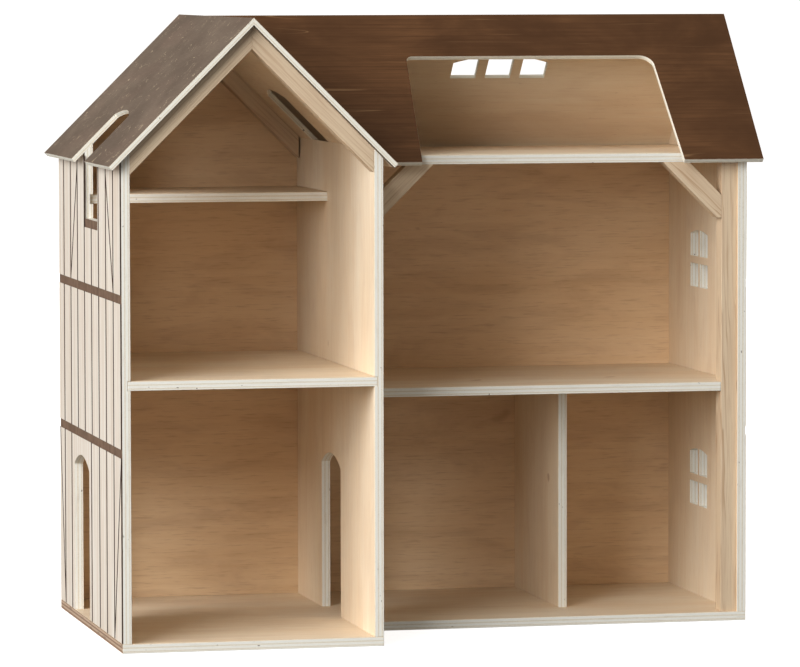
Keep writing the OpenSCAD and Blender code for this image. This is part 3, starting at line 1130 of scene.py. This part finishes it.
@dataclass
class ScoredLines:
    """The char that lies in the straight scored lines of the two outer walls."""

    pattern: Pattern = Pattern()
    char: float = 0.25 * MM
    bite: float = 0.05 * MM
    ply: float = PLYWOOD
    door_y: float = 237 * MM
    jamb: float = 60.5 * MM
    panes_low: Span = (101 * MM, 159 * MM)
    panes_up: Span = (324 * MM, 382 * MM)
    tree: LineTree = field(default_factory=LineTree)

    def build(self) -> None:
        """Makes the char of both walls."""
        pattern = self.pattern
        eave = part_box("left_wall")[1].z - self.ply - pattern.width / 2
        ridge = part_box("right_wall")[1].z - pattern.width
        low = (self.ply, pattern.band_low)
        middle = (pattern.band_low + pattern.band_h, pattern.band_up)
        foot = pattern.band_up + pattern.band_h
        left = [
            Run(1, 3, *low), Run(8, 1, *low), Run(1, 8, *middle),
            Run(1, 3, foot, eave), Run(4, 1, foot, pattern.sill - pattern.band_h),
            Run(5, 4, foot, eave),
        ]
        spans = (low, middle, (foot, ridge))
        right = [Run(first, count, *span) for first, count in ((3, 3), (7, 2)) for span in spans]
        right += [
            Run(6, 1, self.ply, self.panes_low[0]), Run(6, 1, self.panes_low[1], pattern.band_low),
            Run(6, 1, middle[0], self.panes_up[0]), Run(6, 1, self.panes_up[1], ridge),
        ]
        self.lay("left_wall", Way.LEFT, left, True)
        self.lay("right_wall", Way.RIGHT, right, False)

    def lay(self, wall: str, out: Way, runs: list[Run], doorway: bool) -> None:
        """Lays one wall's lines and dresses them.

        Args:
            wall: The wall's node.
            out: The way that its scored face looks.
            runs: Its lines.
            doorway: Whether a line stands on each side of a doorway.
        """
        pattern = self.pattern
        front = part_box("left_wall")[0].y
        low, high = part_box(wall)
        face = low.x if out is Way.LEFT else high.x
        thick = self.char + 2 * self.bite
        middle = pattern.depth - self.char + thick / 2
        x = face - out.vector.x * middle
        values = {
            "Strip": (thick, pattern.width + 2 * self.bite, 1.0),
            "Peak place": (low.y + high.y) / 2,
            "Peak height": high.z - pattern.width if out is Way.RIGHT else OVER_EVERYTHING,
            "Material": Wardrobe.material(CHAR),
        }
        corner, plank = front + pattern.offset, pattern.plank
        rows = [(run.count, corner + run.first * plank, run.foot, plank, run.top) for run in runs]
        if doorway:
            jamb = front + self.door_y - self.jamb
            rows.append((2, jamb, self.ply, 2 * self.jamb, pattern.band_low))
        shape = bmesh.new()
        for count, y, foot, gap, top in rows:
            row = {"Count": count, "Start": (x, y, foot), "Step": (0.0, gap, 0.0), "Top": top}
            self.add(shape, values | row)
        mesh = bpy.data.meshes.new(wall + "_char")
        shape.to_mesh(mesh)
        shape.free()
        mesh.materials.append(Wardrobe.material(CHAR))
        mark(mesh, out, Way.UP, (0.0, 0.0, 0.0), thick)
        piece = bpy.data.objects.new(wall + "_char", mesh)
        bpy.context.scene.collection.objects.link(piece)
        place_piece(piece, "scored_ply")

    def add(self, shape: bmesh.types.BMesh, values: dict[str, object]) -> None:
        """Runs the tree once and adds its strips to a shape."""
        strips = self.tree.run(values)
        shape.from_mesh(strips)
        bpy.data.meshes.remove(strips)


# ---------------------------------------------------------------- studio
@dataclass
class Lamp:
    """One wide soft light, aimed at the middle of the house."""

    name: str
    turn: float
    rise: float
    away: float
    size: Span
    power: float
    aim: Triple = (0.0, -0.05, 0.3)
    colour: Colour = (0.985, 1.0, 1.015)

    def build(self) -> None:
        """Hangs the light, turned from straight ahead and raised by its two angles."""
        turn, rise = math.radians(self.turn), math.radians(self.rise)
        away = Vector(
            (math.sin(turn) * math.cos(rise), -math.cos(turn) * math.cos(rise), math.sin(rise))
        )
        light = bpy.data.lights.new(self.name, "AREA")
        light.shape = "RECTANGLE"
        light.size, light.size_y = self.size
        light.energy = self.power
        light.color = self.colour
        lamp = bpy.data.objects.new(self.name, light)
        bpy.context.scene.collection.objects.link(lamp)
        lamp.visible_camera = False
        lamp.location = Vector(self.aim) + away * self.away
        lamp.rotation_euler = (-away).to_track_quat("-Z", "Y").to_euler()


@dataclass
class Studio:
    """The floor, the dome, the two lights and the camera."""

    floor_half: float = 400.0
    floor_white: float = 0.5
    floor_rough: float = 0.9
    floor_glow: float = 0.85
    sky_peak: float = 0.36
    sky_low: float = 0.2
    sky_colour: Colour = (1.0, 0.95, 0.88)
    contrast: float = 0.9
    camera_at: Triple = (-1.15440, -5.08092, 0.64797)
    camera_turn: float = -12.669
    camera_tilt: float = -3.967
    camera_roll: float = -0.087
    lens: float = 236.72
    sensor: float = 36.0
    sight: float = 2000.0
    key: Lamp = field(
        default_factory=lambda: Lamp("key_light", -54.0, 22.0, 7.0, (6.4, 5.0), 690.0)
    )
    fill: Lamp = field(
        default_factory=lambda: Lamp("fill_light", 132.0, 24.0, 7.0, (5.0, 4.0), 230.0)
    )

    def build(self) -> None:
        """Sets up everything that isn't the object."""
        view = bpy.context.scene.view_settings
        view.view_transform = "Standard"
        view.gamma = self.contrast
        self.floor()
        self.sky()
        self.key.build()
        self.fill.build()
        self.camera()

    def floor(self) -> None:
        """Lays the plain pale floor."""
        half = self.floor_half
        mesh = bpy.data.meshes.new("studio_floor")
        corners = [(-half, -half, 0), (half, -half, 0), (half, half, 0), (-half, half, 0)]
        mesh.from_pydata(corners, [], [(0, 1, 2, 3)])
        paint = bpy.data.materials.new("studio_floor_paint")
        paint.use_nodes = True
        surface = paint.node_tree.nodes["Principled BSDF"]
        surface.inputs["Base Color"].default_value = (*[self.floor_white] * 3, 1.0)
        surface.inputs["Roughness"].default_value = self.floor_rough
        surface.inputs["Emission Color"].default_value = (1.0, 1.0, 1.0, 1.0)
        surface.inputs["Emission Strength"].default_value = self.floor_glow
        mesh.materials.append(paint)
        floor = bpy.data.objects.new("studio_floor", mesh)
        bpy.context.scene.collection.objects.link(floor)
        floor.visible_diffuse = False

    def sky(self) -> None:
        """Hangs a warm dome that is brightest overhead."""
        world = bpy.data.worlds.new("studio_sky")
        world.use_nodes = True
        tree = world.node_tree
        back = tree.nodes["Background"]
        back.inputs["Color"].default_value = (*self.sky_colour, 1.0)
        place = tree.nodes.new("ShaderNodeSeparateXYZ")
        tree.links.new(tree.nodes.new("ShaderNodeTexCoord").outputs["Generated"], place.inputs[0])
        source = place.outputs[2]
        steps = (("MAXIMUM", 0.0), ("MULTIPLY", self.sky_peak), ("ADD", self.sky_low))
        for operation, value in steps:
            step = tree.nodes.new("ShaderNodeMath")
            step.operation = operation
            tree.links.new(source, step.inputs[0])
            step.inputs[1].default_value = value
            source = step.outputs[0]
        tree.links.new(source, back.inputs["Strength"])
        bpy.context.scene.world = world

    def camera(self) -> None:
        """Places the camera and makes it the scene's own."""
        turn, tilt = math.radians(-self.camera_turn), math.radians(self.camera_tilt)
        look = Vector(
            (math.sin(turn) * math.cos(tilt), math.cos(turn) * math.cos(tilt), math.sin(tilt))
        )
        right = look.cross(Vector((0, 0, 1))).normalized()
        up = right.cross(look)
        lens = bpy.data.cameras.new("camera")
        lens.lens = self.lens
        lens.sensor_width = self.sensor
        lens.clip_end = self.sight
        camera = bpy.data.objects.new("camera", lens)
        bpy.context.scene.collection.objects.link(camera)
        axes = Matrix((right, up, -look)).transposed()
        roll = Matrix.Rotation(math.radians(self.camera_roll), 3, "Z")
        camera.matrix_world = Matrix.Translation(self.camera_at) @ (axes @ roll).to_4x4()
        bpy.context.scene.camera = camera


def main() -> None:
    """Builds the house and the studio."""
    logging.basicConfig(level=logging.INFO, format="%(name)s: %(message)s")
    for part in (Shell(), ScoredLines(), Floors(), Roof(), Framing()):
        part.build()
    Studio().build()
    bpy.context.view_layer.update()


if __name__ == "__main__":
    main()
